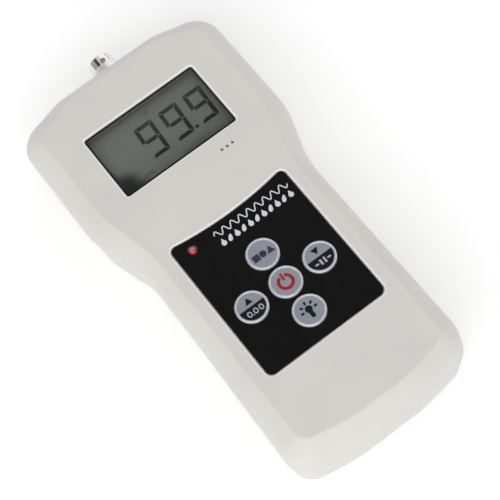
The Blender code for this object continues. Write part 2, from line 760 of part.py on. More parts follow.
def leads():
    tail = SOCKET_REAR_Y - 1.6 - GAP
    under = BOARD_Z - GAP
    wire("signal_lead", eased([(SOCKET_X, tail, SOCKET_Z), (2.2, tail - 2.6, 14.9), (4.9, tail - 6.2, 14.9),
                               (8, tail - 9, 16.2), (9.6, tail - 10.6, under - 0.1)]), 0.7, black_sleeve())
    start = BAY_MID_Y + BAY_LEN / 2 + GAP
    for name, x, finish in (("battery_lead_red", -1.5, red_sleeve()),
                            ("battery_lead_black", 1.5, black_sleeve())):
        wire(name, eased([(x, start, 12.4), (x, start + 3.4, 12.9), (x, start + 7, 15.6),
                          (x, -7 - GAP, 16.8)]), 0.55, finish)


def main():
    clear_scene()
    Shop.parts = new_collection("moisture_meter")
    Shop.cutters = new_collection("cutters")
    front_cover()
    rear_cover()
    battery_door()
    keypad_overlay()
    key_buttons()
    tactile_switches()
    status_led()
    display()
    main_board()
    board_pieces()
    screws()
    battery_holder()
    cells_and_contacts()
    probe_socket()
    leads()


main()
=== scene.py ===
"""Looks of the hand-held moisture meter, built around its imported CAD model.

Lengths in the constants are in millimetres, and MM turns them into metres. +Z is out of
the face and +Y is towards the probe socket.
"""
import json
import math

import bmesh
import bpy
from mathutils import Matrix, Vector


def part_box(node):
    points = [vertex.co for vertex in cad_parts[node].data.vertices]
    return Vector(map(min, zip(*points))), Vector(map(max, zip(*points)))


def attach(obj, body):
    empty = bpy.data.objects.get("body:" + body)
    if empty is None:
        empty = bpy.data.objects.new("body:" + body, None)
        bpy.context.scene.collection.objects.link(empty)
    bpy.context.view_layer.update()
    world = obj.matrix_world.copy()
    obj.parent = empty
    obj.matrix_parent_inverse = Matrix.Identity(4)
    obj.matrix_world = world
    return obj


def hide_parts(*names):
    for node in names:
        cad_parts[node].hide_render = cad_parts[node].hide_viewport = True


MM = 0.001
CUT, ADD, KEEP = "DIFFERENCE", "UNION", "INTERSECT"      # Boolean steps

# ---- case, as in the CAD model: half outlines as (x, y, corner radius) ----
FACE_Z = 30.0
SPLIT_Z = 15.0
EDGE_Z = 21.0
BACK_EDGE_Z = 3.4
GAP = 0.3                # between neighbouring pieces
WALL = 2.2
INSIDE_Z = 20.0          # inside the case, where the cutters of the face begin
FACE_LINE = [(0, -75.5, 0), (12, -75.5, 60), (28.1, -71.8, 4), (28.1, 9.4, 35),
             (33.75, 32.4, 38), (33.75, 71.3, 5), (17, 76.5, 20), (0, 76.5, 0)]
EDGE_LINE = [(0, -80.3, 0), (14, -80.3, 60), (34.9, -76.6, 10.5), (34.1, 8.6, 37),
             (40.8, 29.2, 37.5), (40.7, 78, 10.5), (20.7, 83.2, 20), (0, 83.2, 0)]
SPLIT_LINE = [(0, -80.9, 0), (14, -80.9, 60), (35.2, -77.6, 9.3), (33.1, 8.6, 37),
              (39.8, 29.2, 37.5), (39.7, 77.2, 9), (20.7, 82.4, 20), (0, 82.4, 0)]
BACK_LINE = [(0, -79.8, 0), (14, -79.8, 60), (33.7, -76.6, 8.3), (31.8, 8.9, 36),
             (38.5, 29.5, 36.5), (38.4, 76.2, 8), (20.3, 81.3, 20), (0, 81.3, 0)]
REST_LINE = [(0, -76.5, 0), (13.5, -76.5, 60), (30.5, -73.8, 6), (28.6, 9.3, 35),
             (35.3, 29.9, 36.5), (35.2, 73.2, 5.5), (19.2, 78, 20), (0, 78, 0)]
CORNER_STEPS = [0, 8, 16, 12, 12, 16, 8, 0]

SEAM_LAP = 0.12          # how far each cover closes the CAD model's gap at the parting line
HOLE_EDGE_R = 0.65       # rounding of the window's and the recess's upper edges
SOUNDER_HOLES_X = (12.15, 14.35, 16.5)
SOUNDER_HOLES_Y = 26.55
SOUNDER_HOLE_R = 0.54
CASE_SCREWS = [(-30.3, 66.0), (30.3, 66.0), (-27.0, -66.0), (27.0, -66.0)]
SCREW_HOLE_R = 1.6
POST_R = 3.8
POST_Z = (1.6, 12.0)
LEDGE_Z = 9.5            # on which the heads of the case screws bear
COUNTERBORE_R = 3.05
DOOR_HALF_W = 22.0
DOOR_END_Y = -16.0
DOOR_T = 2.1
DOOR_LEDGE_Z = 2.5
DOOR_RIBS_Y = (-66, -63.6, -61.2, -58.8, -56.4)
DOOR_RIB_R = 0.65
DOOR_RIB_Z = -0.15
DOOR_RIB_LENGTH = 16.0
DOOR_ARROW = [(-3.4, -52.2), (0, -55.4), (3.4, -52.2)]
DOOR_ARROW_DEPTH = 0.35

# ---- keypad, keys and indicator ----
KEYPAD_HALF_W = 23.4
KEYPAD_FOOT_Y = -48.8
KEYPAD_CORNER_Y = 7.93
KEYPAD_ARC_SAG = 2.1
KEYPAD_CORNER_R = 2.4
KEYPAD_TOP_R = 1.9
KEYPAD_FLOOR_Z = 29.2
KEYS = ("function_button", "power_button", "light_button", "up_zero_button", "down_hold_button")
KEY_R = 5.75
KEY_HOLE_R = 6.0
KEY_RIM = 0.88           # width of the silver rim
KEY_FOOT_Z = 26.5
LED_Y = 2.7
LED_R = 1.3
LED_FOOT_R = 1.9
LED_FOOT_Z = (25.1, 25.9)
LED_HOLE_R = 1.8
INK_T = 0.03
TITLE_X = (-8.6, 21.4)
WAVE_Y = 2.3
WAVE_SWING = 1.15
WAVE_COUNT = 9
WAVE_LINE = 0.42
DROPS_Y = -1.5

# ---- window and display ----
WINDOW_W = 45.7
WINDOW_H = 27.4
WINDOW_R = 1.0
TRIM_WALL = 0.25
LENS_FLANGE = (50.4, 31.6, 1.0)      # width, height and corner radius
LENS_FLANGE_T = 0.5
SURROUND = (46.9, 28.1, 0.4)         # the same, of the dark strip round the display
FIGURES_X = (-7.28, 3.05, 13.4)
FIGURE_Y = 40.15
FIGURE_SIZE = (7.4, 13.65)
FIGURE_STROKE = 1.5
FIGURE_LEAN = 0.06       # sideways lean, as a share of the height
POINT_AT = (11.45, 40.95)
POINT_R = 0.68

# ---- probe socket ----
SOCKET_X = 1.5
SOCKET_Z = 15.0
SOCKET_HOLE_R = 4.95
FLANGE_Y = 83.4          # back of the flange, against the case
FLANGE_R = 6.3
COLLAR_R = 6.0
COLLAR_T = 3.2           # from the flange's back to the collar's front
BARREL_R = 4.8
MOUTH_R = 4.05
THREAD_R = 4.6
THREAD_TURNS = 11
THREAD_PITCH = 0.95
LUG_ANGLES = (86, 266)
LUG_BACK = 3.4           # from the socket's tip to the middle of its bayonet lugs
LUG_R = 1.0
LUG_LENGTH = 1.2
LUG_OUT = 4.95           # from the socket's axis to a lug's middle

# ---- camera and light ----
CAMERA_AT = (-79.8, -226.3, 532.8)
CAMERA_TURN = (23.52, 7.48, -36.29)
CAMERA_LENS = 121.55
WORLD_STRENGTH = 0.745
LIGHTS = {               # place and size in metres, power in watts
    "key_light": ((-0.55, -0.95, 0.85), (1.3, 0.9), 6.8),
    "side_light": ((0.80, 0.48, 0.78), (1.2, 1.0), 1.5),
    "left_light": ((-1.05, -0.15, 0.62), (0.7, 0.7), 1.65),
}


# ======== shaders ========
def linear(red, green, blue):
    """Display colour, 0 to 255, to the linear values that shaders take."""
    values = []
    for value in (red, green, blue):
        share = value / 255
        values.append(share / 12.92 if share <= 0.04045 else ((share + 0.055) / 1.055) ** 2.4)
    return (*values, 1.0)


class Nodes:
    """Maths nodes for one node tree."""

    def __init__(self, tree):
        self.nodes = tree.nodes
        self.links = tree.links

    def feed(self, node, values):
        """Links each socket to another node's output, or sets a plain value on it."""
        for socket, value in values.items():
            if isinstance(value, bpy.types.NodeSocket):
                self.links.new(value, node.inputs[socket])
            else:
                node.inputs[socket].default_value = value

    def math(self, operation, first, second):
        node = self.nodes.new("ShaderNodeMath")
        node.operation = operation
        self.feed(node, {0: first, 1: second})
        return node.outputs[0]

    def product(self, first, *others):
        for other in others:
            first = self.math("MULTIPLY", first, other)
        return first

    def remap(self, source, low, high, in_low=0.3, in_high=0.7, smooth=False):
        node = self.nodes.new("ShaderNodeMapRange")
        if smooth:
            node.interpolation_type = "SMOOTHSTEP"
        self.feed(node, {"From Min": in_low, "From Max": in_high, "To Min": low, "To Max": high,
                         "Value": source})
        return node.outputs["Result"]


class Shader(Nodes):
    """A node material under construction."""

    def __init__(self, name, **settings):
        self.material = bpy.data.materials.new(name)
        self.material.use_nodes = True
        super().__init__(self.material.node_tree)
        self.base = self.nodes["Principled BSDF"]
        self.coords = self.nodes.new("ShaderNodeTexCoord").outputs["Object"]
        for socket, value in settings.items():
            self.base.inputs[socket.replace("_", " ")].default_value = value

    def noise(self, scale, detail=3.0, roughness=0.5, stretch=None):
        node = self.nodes.new("ShaderNodeTexNoise")
        source = self.coords
        if stretch:
            mapping = self.nodes.new("ShaderNodeMapping")
            self.feed(mapping, {"Scale": stretch, "Vector": source})
            source = mapping.outputs["Vector"]
        self.feed(node, {"Scale": scale, "Detail": detail, "Roughness": roughness,
                         "Vector": source})
        return node.outputs["Fac"]

    def mix(self, share, colour_a, colour_b):
        node = self.nodes.new("ShaderNodeMix")
        node.data_type = "RGBA"
        self.feed(node, {0: share, 6: colour_a, 7: colour_b})
        return node.outputs[2]

    def axis(self, name):
        node = self.nodes.new("ShaderNodeSeparateXYZ")
        self.links.new(self.coords, node.inputs[0])
        return node.outputs[name]

    def bump(self, height, strength, distance=0.00005):
        node = self.nodes.new("ShaderNodeBump")
        self.feed(node, {"Strength": strength, "Distance": distance, "Height": height})
        self.links.new(node.outputs["Normal"], self.base.inputs["Normal"])

    def colour(self, socket):
        self.links.new(socket, self.base.inputs["Base Color"])

    def roughness(self, socket):
        self.links.new(socket, self.base.inputs["Roughness"])

    def mottle(self, noise, colour_a, colour_b):
        """Uneven colour, between two tones."""
        self.colour(self.mix(self.remap(self.noise(*noise), 0, 1), colour_a, colour_b))

    def uneven_gloss(self, noise, low, high):
        self.roughness(self.remap(self.noise(*noise), low, high))


def moulded(name, colour, shade, roughness, grain=2600, strength=0.25):
    """Moulded plastic: fine spark-eroded grain, a faint tone change and uneven gloss."""
    look = Shader(name)
    look.mottle((60, 4), colour, shade)
    look.uneven_gloss((220, 5), roughness - 0.05, roughness + 0.05)
    look.bump(look.noise(grain, 2, 0.6), strength)
    return look.material


def metal(name, colour, roughness, stretch=(1, 1, 14), scale=900, depth=0.15, spread=0.18):
    """Plated metal with faint turning marks."""
    look = Shader(name, Metallic=1.0)
    marks = look.noise(scale, 3, 0.6, stretch)
    darker = tuple(value * (1 - spread) for value in colour[:3]) + (1.0,)
    look.mottle((180, 4), colour, darker)
    look.roughness(look.remap(marks, roughness * 0.7, roughness * 1.5))
    look.bump(marks, depth, 0.00002)
    return look.material


def case_material():
    look = Shader("case_plastic_look", Specular_IOR_Level=0.42)
    look.mottle((38, 4), linear(213, 211, 206), linear(208, 206, 202))
    look.uneven_gloss((90, 5, 0.6), 0.40, 0.50)
    look.bump(look.noise(2300, 2, 0.65), 0.16, 0.00003)
    return look.material


def film_material():
    look = Shader("black_film_look", Specular_IOR_Level=0.12)
    look.mottle((75, 3), linear(9, 9, 10), linear(13, 12, 13))
    look.uneven_gloss((300, 4), 0.36, 0.46)
    look.bump(look.noise(3200, 2), 0.12, 0.00002)
    return look.material


def key_face_material():
    look = Shader("key_face_look", Metallic=0.35, Specular_IOR_Level=0.5)
    look.mottle((2600, 2, 0.7), linear(138, 144, 155), linear(152, 158, 167))
    look.uneven_gloss((1500, 3), 0.38, 0.46)
    look.bump(look.noise(2600, 2, 0.7), 0.1, 0.00002)
    return look.material


def silver_ring_material():
    look = Shader("silver_ring_look", Metallic=0.55)
    look.mottle((900, 3), linear(196, 199, 205), linear(206, 208, 213))
    look.uneven_gloss((500, 3), 0.30, 0.36)
    look.bump(look.noise(1800, 2), 0.03, 0.00001)
    return look.material


def ink(name, colour, roughness=0.45):
    """Printed ink with a slightly uneven edge tone."""
    look = Shader(name, Specular_IOR_Level=0.15)
    lighter = tuple(min(1.0, value * 1.25 + 0.004) for value in colour[:3]) + (1.0,)
    look.mottle((1400, 3), colour, lighter)
    look.uneven_gloss((800, 3), roughness - 0.05, roughness + 0.05)
    look.bump(look.noise(2600, 2), 0.1, 0.00001)
    return look.material


def display_material(centre):
    """Reflective display: grey-green, with painted shade that makes it darker towards its edges,
    and a painted dark reflection in one corner.
    """
    left, right = (centre.x - WINDOW_W / 2) * MM, (centre.x + WINDOW_W / 2) * MM
    bottom, top = (centre.y - WINDOW_H / 2) * MM, (centre.y + WINDOW_H / 2) * MM
    look = Shader("display_look", Specular_IOR_Level=0.3)
    x, y = look.axis("X"), look.axis("Y")
    # Painted shade: the tone darkens from left to right, and from the middle up to the top edge.
    across = look.remap(x, 0, 1, left, right)
    tone = look.mix(across, linear(103, 106, 100), linear(95, 98, 93))
    up = look.remap(y, 0, 0.55, (bottom + top) / 2, top)
    tone = look.mix(up, tone, linear(92, 93, 90))
    tone = look.mix(look.remap(look.noise(140, 4), 0, 0.10), tone, linear(110, 115, 108))

    def spot(at_x, at_y, flatten, radius, soft, share, colour):
        """Adds a soft round or flattened mark, placed from the window's lower left corner."""
        off_x = look.math("SUBTRACT", x, left + at_x * MM)
        off_y = look.product(look.math("SUBTRACT", y, bottom + at_y * MM), flatten)
        square = look.math("ADD", look.product(off_x, off_x), look.product(off_y, off_y))
        distance = look.math("SQRT", square, 0.0)
        amount = look.remap(distance, share, 0.0, radius * MM, (radius + soft) * MM)
        return look.mix(amount, tone, colour)

    # Painted dark reflection in the lower left corner: its wide shade, its two dark middles, its
    # foot and its upright edge.
    tone = spot(2.6, 4.4, 1.0, 2.0, 5.6, 0.74, linear(24, 30, 25))
    tone = spot(3.0, 5.2, 1.0, 1.3, 3.8, 0.95, linear(5, 7, 5))
    tone = spot(1.5, 2.3, 1.0, 1.8, 3.4, 0.97, linear(5, 7, 5))
    tone = spot(6.0, 2.3, 1.8, 1.4, 3.6, 0.66, linear(18, 22, 18))
    tone = spot(0.9, 8.5, 0.18, 0.4, 1.0, 0.75, linear(24, 28, 24))
    # Fainter marks: right of the painted reflection, above the first figure and under the middle
    # one.
    tone = spot(11.3, 4.0, 3.0, 0.9, 1.9, 0.42, linear(38, 42, 38))
    tone = spot(23.3, 24.2, 1.0, 0.2, 1.3, 0.45, linear(38, 42, 38))
    tone = spot(32.0, 2.0, 2.6, 3.0, 7.5, 0.32, linear(40, 44, 40))
    look.colour(tone)
    look.uneven_gloss((500, 3), 0.30, 0.40)
    look.bump(look.noise(3000, 2), 0.06, 0.00001)
    return look.material


def window_material():
    """Clear acrylic: see-through, with a reflection that grows towards grazing views."""
    look = Shader("clear_window_look", Metallic=1.0)
    look.mottle((200, 2), (0.90, 0.93, 0.92, 1), (0.86, 0.90, 0.88, 1))
    look.uneven_gloss((400, 3), 0.04, 0.09)
    look.bump(look.noise(900, 2), 0.02, 0.00001)
    facing = look.nodes.new("ShaderNodeLayerWeight").outputs["Facing"]
    gloss = look.remap(look.math("POWER", facing, 5.0), 0.022, 1.0, 0.0, 1.0)
    look.links.new(gloss, look.base.inputs["Alpha"])
    return look.material


def trim_material():
    """Black frame of the window, whose lower wall carries a painted reflection of the display's
    grey.
    """
    look = Shader("window_trim_look", Specular_IOR_Level=0.15)
    # Painted reflection: the wall turns from black at its top to the display's grey at its foot.
    depth = look.remap(look.axis("Z"), 1.0, 0.0, 28.3 * MM, 29.3 * MM)
    look.colour(look.mix(depth, linear(27, 28, 26), linear(96, 100, 94)))
    look.uneven_gloss((800, 3), 0.45, 0.55)
    look.bump(look.noise(2600, 2), 0.1, 0.00001)
    return look.material


def indicator_material():
    look = Shader("indicator_look", IOR=1.5, Transmission_Weight=0.2, Emission_Strength=0.06,
                  Coat_Weight=0.6, Coat_Roughness=0.08)
    look.base.inputs["Emission Color"].default_value = linear(235, 60, 70)
    # Painted highlight: the dome turns from deep red to pinkish white towards its +Y side.
    rise = look.remap(look.axis("Y"), 0, 1, (LED_Y - 0.5) * MM, (LED_Y + 1.4) * MM)
    tone = look.mix(rise, linear(186, 30, 48), linear(232, 160, 166))
    look.colour(look.mix(look.remap(look.noise(500, 3), 0, 0.25), tone, linear(214, 92, 106)))
    look.uneven_gloss((900, 3), 0.10, 0.18)
    look.bump(look.noise(1500, 2), 0.04, 0.00001)
    return look.material


def floor_material():
    look = Shader("studio_floor_look", Specular_IOR_Level=0.1, Emission_Strength=0.12)
    look.base.inputs["Emission Color"].default_value = (1, 1, 1, 1)
    look.mottle((9, 4), (0.985, 0.985, 0.985, 1), (0.97, 0.97, 0.97, 1))
    look.uneven_gloss((40, 4), 0.85, 0.95)
    return look.material


# ======== shapes ========
def fillet(before, corner, after, radius, steps):
    """Points of the arc that rounds one corner of an outline."""
    here = Vector(corner)
    to_before = (Vector(before) - here).normalized()
    to_after = (Vector(after) - here).normalized()
    opening = to_before.angle(to_after)
    if radius <= 0 or steps <= 0 or opening > math.radians(179.9):
        return [tuple(here)]
    reach = radius / math.tan(opening / 2)
    centre = here + (to_before + to_after).normalized() * (radius / math.sin(opening / 2))
    start = here + to_before * reach - centre
    turn = start.angle_signed(here + to_after * reach - centre)
    points = []
    for step in range(steps + 1):
        points.append(tuple(centre + Matrix.Rotation(-turn * step / steps, 2) @ start))
    return points


def rounded(corners):
    """Closed outline through (x, y, radius) corners."""
    points = []
    for index, (x, y, radius) in enumerate(corners):
        before, after = corners[index - 1][:2], corners[(index + 1) % len(corners)][:2]
        points += fillet(before, (x, y), after, radius, 8)
    return points


def rounded_box(width, height, radius, x, y):
    left, right = x - width / 2, x + width / 2
    low, high = y - height / 2, y + height / 2
    return rounded([(left, low, radius), (right, low, radius),
                    (right, high, radius), (left, high, radius)])


def case_ring(line):
    """Full outline, anticlockwise, from a half outline with corner radii."""
    half = [line[0][:2]]
    for index in range(1, len(line) - 1):
        x, y, radius = line[index]
        half += fillet(line[index - 1][:2], (x, y), line[index + 1][:2], radius,
                       CORNER_STEPS[index])
    half.append(line[-1][:2])
    return half + [(-x, y) for x, y in reversed(half[1:-1])]


def between(line_a, line_b, share):
    """Half outline part of the way from one to another."""
    mixed = []
    for corner_a, corner_b in zip(line_a, line_b):
        mixed.append(tuple(a + (b - a) * share for a, b in zip(corner_a, corner_b)))
    return mixed


def inset(line, depth):
    """The same half outline, moved inwards."""
    last, middle = len(line) - 1, len(line) // 2
    moved = []
    for index, (x, y, radius) in enumerate(line):
        on_side = 2 <= index <= last - 2
        rise = depth if index <= 2 else -depth if index > middle else 0
        moved.append((x - depth if on_side else x, y + rise,
                      max(radius - depth, 0) if radius else 0))
    return moved


def bezier(start, control, end, steps, first=0):
    """Points of a quadratic curve."""
    points = []
    for step in range(first, steps + 1):
        t = step / steps
        points.append(tuple((1 - t) ** 2 * a + 2 * t * (1 - t) * b + t * t * c
                            for a, b, c in zip(start, control, end)))
    return points


def loft(rings, bm=None):
    """Closed block through (outline, height) rings that rise in Z."""
    if bm is None:
        bm = bmesh.new()
    rows = []
    for outline, height in rings:
        rows.append([bm.verts.new((x * MM, y * MM, height * MM)) for x, y in outline])
    for low, high in zip(rows, rows[1:]):
        for index in range(len(low)):
            after = (index + 1) % len(low)
            bm.faces.new((low[index], low[after], high[after], high[index]))
    bm.faces.new(reversed(rows[0]))
    bm.faces.new(rows[-1])
    return bm


def mesh_object(name, bm, look=None):
    mesh = bpy.data.meshes.new(name)
    bm.to_mesh(mesh)
    bm.free()
    item = bpy.data.objects.new(name, mesh)
    bpy.context.scene.collection.objects.link(item)
    if look:
        mesh.materials.append(look)
    return item


def rods(places, radius, low_z, high_z, sides=48):
    """Upright cylinders at (x, y) places."""
    bm = bmesh.new()
    for x, y in places:
        cylinder(bm, (x, y, (low_z + high_z) / 2), Matrix(), radius, high_z - low_z, sides)
    return bm


def cross_rod(centre, direction, radius, length, sides=48):
    bm = bmesh.new()
    turn = Vector((0, 0, 1)).rotation_difference(Vector(direction)).to_matrix().to_4x4()
    cylinder(bm, centre, turn, radius, length, sides)
    return bm


def cylinder(bm, centre, turn, radius, length, sides):
    bmesh.ops.create_cone(bm, cap_ends=True, segments=sides, radius1=radius * MM,
                          radius2=radius * MM, depth=length * MM,
                          matrix=Matrix.Translation(Vector(centre) * MM) @ turn)


def box(low, high):
    bm = bmesh.new()
    size = [(b - a) * MM for a, b in zip(low, high)]
    middle = [(b + a) / 2 * MM for a, b in zip(low, high)]
    place = Matrix.Translation(middle) @ Matrix.Diagonal((*size, 1))
    bmesh.ops.create_cube(bm, size=1.0, matrix=place)
    return bm


def carve(item, steps):
    """Applies Boolean steps, (operation, bmesh), and removes their tools."""
    tools = []
    for operation, bm in steps:
        tool = mesh_object("tool", bm)
        tools.append(tool)
        change = item.modifiers.new("carve", "BOOLEAN")
        change.operation = operation
        change.solver = "EXACT"
        change.object = tool
    apply_modifiers(item)
    for tool in tools:
        bpy.data.objects.remove(tool, do_unlink=True)


def apply_modifiers(item):
    bpy.context.view_layer.update()
    evaluated = item.evaluated_get(bpy.context.evaluated_depsgraph_get())
    made = bpy.data.meshes.new_from_object(evaluated)
    item.modifiers.clear()
    item.data = made


def finish_shading(item, angle=30.0, weighted=True):
    """Smooth shading that stays flat on the large faces."""
    item.data.shade_smooth()
    item.data.set_sharp_from_angle(angle=math.radians(angle))
    if weighted:
        steps = item.modifiers.new("flat_faces", "WEIGHTED_NORMAL")
        steps.keep_sharp = True
        steps.weight = 100


def flared(outline_of, low_z, edge_z, radius, steps=5):
    """Cutter whose upper end opens out, so that the hole's edge is rounded."""
    rings = [(outline_of(0), low_z)]
    for step in range(steps + 1):
        angle = math.radians(90) * step / steps
        rings.append((outline_of(radius * (1 - math.cos(angle))),
                      edge_z - radius * (1 - math.sin(angle))))
    rings.append((outline_of(radius), edge_z + 2))
    return loft(rings)


def eased(outline_of, low_z, high_z, edge):
    """Rings of an upright wall whose upper edge is eased."""
    return [(outline_of(0), low_z), (outline_of(0), high_z - edge),
            (outline_of(edge * 0.3), high_z - edge * 0.3), (outline_of(edge), high_z)]


def turned(name, profile, look, centre, steps=96, lying=False, angle=30.0):
    """Solid of revolution; its profile runs down the outer side."""
    bm = bmesh.new()
    verts = [bm.verts.new((radius * MM, 0, height * MM)) for radius, height in profile]
    pairs = list(zip(verts, verts[1:]))
    if profile[0][0] > 0:
        pairs.append((verts[-1], verts[0]))
    for start, end in pairs:
        bm.edges.new((start, end))
    item = mesh_object(name, bm, look)
    spin = item.modifiers.new("turn", "SCREW")
    spin.axis = "Z"
    spin.steps = steps
    spin.render_steps = steps
    spin.use_merge_vertices = True
    spin.merge_threshold = 0.000001
    apply_modifiers(item)
    if lying:
        item.data.transform(Matrix.Rotation(-math.pi / 2, 4, "X"))
    item.data.transform(Matrix.Translation(Vector(centre) * MM))
    finish_shading(item, angle, False)
    return item


def printed(name, outlines, low_z, thickness, look):
    """Thin raised shapes from closed outlines in millimetres, as one piece."""
    bm = bmesh.new()
    for outline in outlines:
        loft([(outline, low_z), (outline, low_z + thickness)], bm)
    bmesh.ops.recalc_face_normals(bm, faces=bm.faces)
    bmesh.ops.triangulate(bm, faces=[face for face in bm.faces if len(face.verts) > 4])
    return mesh_object(name, bm, look)


def mount_piece(item, body, *replaced, slot):
    """Lets a piece ride on a body, in place of the CAD nodes it replaces, if any."""
    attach(item, body)
    if replaced:
        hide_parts(*replaced)


def middle_of(node):
    """A CAD node's middle, lowest and highest corner, in millimetres."""
    low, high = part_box(node)
    return (low + high) / 2 / MM, low / MM, high / MM


# ======== case ========
def keypad_outline(grow):
    """Outline of the keypad film, whose upper edge sags as an arc, or one drawn wider."""
    half = KEYPAD_HALF_W + grow
    radius = (KEYPAD_HALF_W ** 2 + KEYPAD_ARC_SAG ** 2) / (2 * KEYPAD_ARC_SAG)
    corner, top_corner = KEYPAD_CORNER_R + grow, KEYPAD_TOP_R + grow
    corners = [(-half, KEYPAD_FOOT_Y - grow, corner), (half, KEYPAD_FOOT_Y - grow, corner),
               (half, KEYPAD_CORNER_Y + grow, top_corner)]
    for step in range(19):
        x = 18 - 2 * step
        rise = radius - math.sqrt(radius ** 2 - x * x)
        corners.append((x, KEYPAD_CORNER_Y - KEYPAD_ARC_SAG + rise + grow, 0))
    corners.append((-half, KEYPAD_CORNER_Y + grow, top_corner))
    return rounded(corners)


def seam_lip(height, way):
    """Eased edge at the parting line, whose wall goes up, with way 1, or down, with way -1."""
    return [(case_ring(inset(SPLIT_LINE, 0.14)), height),
            (case_ring(inset(SPLIT_LINE, 0.04)), height + 0.05 * way),
            (case_ring(SPLIT_LINE), height + 0.16 * way)]


def front_rings():
    """Rings of the front cover: lip at the parting line, side, crease and flat face."""
    rings = seam_lip(SPLIT_Z - SEAM_LAP, 1)
    for share in (0.35, 0.65, 0.85):
        height = SPLIT_Z + (EDGE_Z - SPLIT_Z) * share
        rings.append((case_ring(between(SPLIT_LINE, EDGE_LINE, share)), height))
    slope = bezier((1.0, EDGE_Z), (0.86, 25.2), (0.10, 29.72), 14)
    crease = bezier((0.10, 29.72), (0.053, FACE_Z), (-0.016, FACE_Z), 5, 1)
    for share, height in (*slope, *crease, (-0.08, FACE_Z)):
        rings.append((case_ring(between(FACE_LINE, EDGE_LINE, share)), height))
    return rings


def front_hollow():
    rings = [(case_ring(inset(SPLIT_LINE, WALL)), SPLIT_Z - 1)]
    for share, height in ((1.0, 19.5), (0.93, 23.0), (0.72, 25.8), (0.36, FACE_Z - WALL)):
        rings.append((case_ring(inset(between(FACE_LINE, EDGE_LINE, share), WALL)), height))
    return loft(rings)


def paint_edge_highlights(cover, lens):
    """Painted highlight: a second, brighter and glossier finish on the rounded edges of the
    window and keypad recess.
    """
    reach = HOLE_EDGE_R + 0.05
    half_w, half_h = WINDOW_W / 2 + reach, WINDOW_H / 2 + reach
    margin = GAP + HOLE_EDGE_R + 0.25
    for face in cover.data.polygons:
        x, y, z = face.center / MM
        if not FACE_Z - HOLE_EDGE_R - 0.02 < z < FACE_Z - 0.001:
            continue
        by_window = abs(x - lens.x) < half_w and abs(y - lens.y) < half_h
        by_keypad = (abs(x) < KEYPAD_HALF_W + margin
                     and KEYPAD_FOOT_Y - margin < y < KEYPAD_CORNER_Y + margin)
        if by_window or by_keypad:
            face.material_index = 1


def key_holes(low_z, high_z):
    """Cutters for the holes that the keys and the indicator pass through."""
    keys = [tuple(middle_of(name)[0][:2]) for name in KEYS]
    led, _, _ = middle_of("status_led")
    return [(CUT, rods(keys, KEY_HOLE_R, low_z, high_z)),
            (CUT, rods([(led.x, led.y)], LED_HOLE_R, low_z, high_z, 32))]


def socket_hole():
    return CUT, cross_rod((SOCKET_X, 78, SOCKET_Z), (0, 1, 0), SOCKET_HOLE_R, 24)


def front_cover(look, highlight_edge_look):
    cover = mesh_object("front_cover_shell", loft(front_rings()), look)
    lens, _, _ = middle_of("lcd_lens")
    sounder_holes = [(x, SOUNDER_HOLES_Y) for x in SOUNDER_HOLES_X]
    window = flared(lambda grow: window_outline(-grow, lens), INSIDE_Z, FACE_Z, HOLE_EDGE_R)
    recess = flared(lambda grow: keypad_outline(GAP + grow), KEYPAD_FLOOR_Z, FACE_Z, HOLE_EDGE_R)
    carve(cover, [(CUT, front_hollow()), (CUT, window), (CUT, recess),
                  *key_holes(INSIDE_Z, FACE_Z - 0.1),
                  (CUT, rods(sounder_holes, SOUNDER_HOLE_R, INSIDE_Z, FACE_Z + 2, 28)),
                  socket_hole()])
    # The second finish is a painted highlight on the rounded edges of the window and recess.
    cover.data.materials.append(highlight_edge_look)
    paint_edge_highlights(cover, lens)
    finish_shading(cover)
    mount_piece(cover, "case", "front_cover", slot="case_plastic")


def rear_rings():
    """Rings of the back: rounded rim, side and lip at the parting line."""
    rings = []
    for step in range(11):
        angle = math.radians(90) * step / 10
        line = between(BACK_LINE, REST_LINE, 1 - math.sin(angle))
        rings.append((case_ring(line), BACK_EDGE_Z * (1 - math.cos(angle))))
    top = SPLIT_Z - GAP + SEAM_LAP
    for share in (0.3, 0.6, 0.9):
        height = BACK_EDGE_Z + (top - BACK_EDGE_Z) * share
        rings.append((case_ring(between(BACK_LINE, SPLIT_LINE, share)), height))
    return rings + seam_lip(top, -1)[::-1]


def rear_hollow():
    return loft([(case_ring(inset(between(BACK_LINE, REST_LINE, 0.4), WALL)), WALL),
                 (case_ring(inset(BACK_LINE, WALL)), WALL + 2),
                 (case_ring(inset(SPLIT_LINE, WALL)), SPLIT_Z - GAP),
                 (case_ring(inset(SPLIT_LINE, WALL)), SPLIT_Z + 1)])


def door_block(grow, top):
    """Block that cuts the battery door, or the room for it, out of the back."""
    half = DOOR_HALF_W + grow
    return box((-half, -90, -5), (half, DOOR_END_Y + grow, top))


def rear_cover(look):
    cover = mesh_object("rear_cover_shell", loft(rear_rings()), look)
    carve(cover, [(CUT, rear_hollow()),
                  (ADD, rods(CASE_SCREWS, POST_R, *POST_Z)),
                  (CUT, rods(CASE_SCREWS, COUNTERBORE_R, -2, LEDGE_Z)),
                  (CUT, rods(CASE_SCREWS, SCREW_HOLE_R, LEDGE_Z - 1, POST_Z[1] + 2, 24)),
                  (CUT, door_block(GAP, DOOR_LEDGE_Z)),
                  socket_hole()])
    finish_shading(cover)
    mount_piece(cover, "case", "rear_cover", slot="case_plastic")


def battery_door(look):
    door = mesh_object("battery_door_panel", loft(rear_rings()), look)
    steps = [(KEEP, door_block(0, DOOR_T))]
    for y in DOOR_RIBS_Y:
        rib = cross_rod((0, y, DOOR_RIB_Z), (1, 0, 0), DOOR_RIB_R, DOOR_RIB_LENGTH, 24)
        steps.append((CUT, rib))
    steps.append((CUT, loft([(DOOR_ARROW, -1), (DOOR_ARROW, DOOR_ARROW_DEPTH)])))
    carve(door, steps)
    finish_shading(door)
    mount_piece(door, "battery_door", "battery_door", slot="door_plastic")


